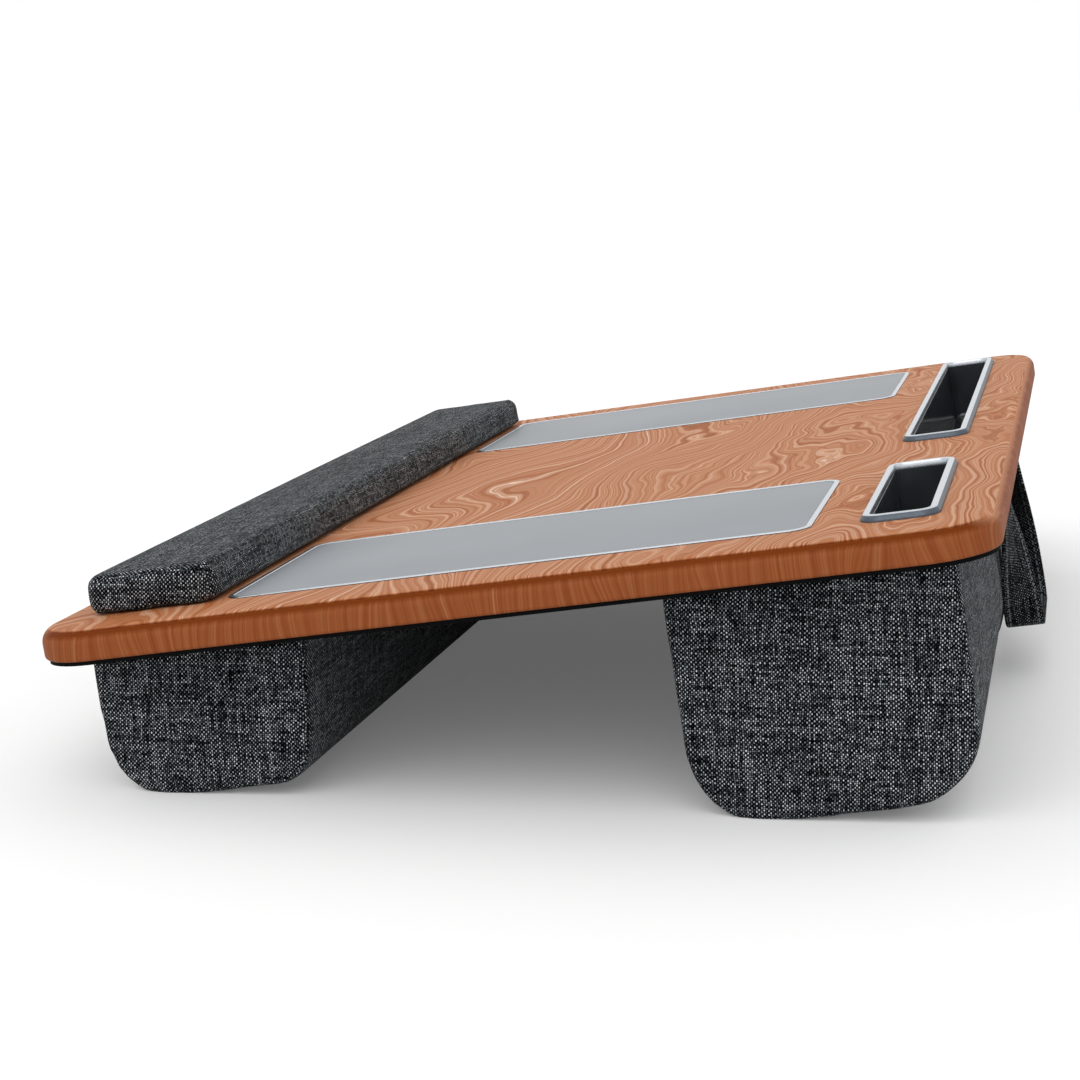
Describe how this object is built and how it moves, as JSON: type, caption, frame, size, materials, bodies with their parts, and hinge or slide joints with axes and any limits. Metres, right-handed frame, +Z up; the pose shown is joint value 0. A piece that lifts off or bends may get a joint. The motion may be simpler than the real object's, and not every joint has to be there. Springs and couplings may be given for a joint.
{
  "type": "lap desk",
  "caption": "Sloped lap desk: wood board on two fabric bolsters, with padded wrist rest, inlaid mouse pads, phone slot, tablet slot and a carry handle.",
  "frame": {"origin": "on the surface the desk stands on, below the middle of its overall box", "axes": "+X to the user's right along the board's length, +Y from the user towards the slots, +Z up; the board slopes up towards +Y"},
  "size_m": [0.55, 0.3688, 0.1149],
  "materials": {
    "wood": "walnut-look veneer, satin lacquer",
    "backing": "matte black sheet",
    "bezel_metal": "satin silver with a bevelled flank",
    "well_plastic": "glossy charcoal moulding",
    "pad_vinyl": "satin grey mousing surface",
    "trim_metal": "bright bevelled strip",
    "cover_fabric": "charcoal tweed weave",
    "foam": "open-cell foam",
    "stiffener": "raw hardboard",
    "tape": "foam mounting tape",
    "hook_loop": "black hook and loop",
    "webbing": "charcoal woven webbing",
    "screw_steel": "zinc plated"
  },
  "bodies": {
    "desk": {"top_board": "wood", "backing_sheet": "backing", "phone_slot_bezel": "bezel_metal", "phone_slot_well": "well_plastic", "tablet_slot_bezel": "bezel_metal", "tablet_slot_well": "well_plastic", "right_mouse_pad": "pad_vinyl", "right_pad_trim": "trim_metal", "left_mouse_pad": "pad_vinyl", "left_pad_trim": "trim_metal", "wrist_rest_cover": "cover_fabric", "wrist_rest_foam": "foam", "wrist_rest_stiffener": "stiffener", "wrist_rest_tape": "tape", "front_bolster_cover": "cover_fabric", "front_bolster_foam": "foam", "front_bolster_stiffener": "stiffener", "front_hook_strip": "hook_loop", "front_loop_strip": "hook_loop", "rear_bolster_cover": "cover_fabric", "rear_bolster_foam": "foam", "rear_bolster_stiffener": "stiffener", "rear_hook_strip": "hook_loop", "rear_loop_strip": "hook_loop", "handle_tabs": "webbing", "handle_screws": "screw_steel"},
    "handle": {"carry_handle": "webbing"}
  },
  "joints": [
    {"name": "handle_swing", "type": "hinge", "parent": "desk", "child": "handle", "pos_m": [0, 0.16551, 0.09968], "axis": [1, 0, 0], "range_deg": [0, 90]}
  ]
}
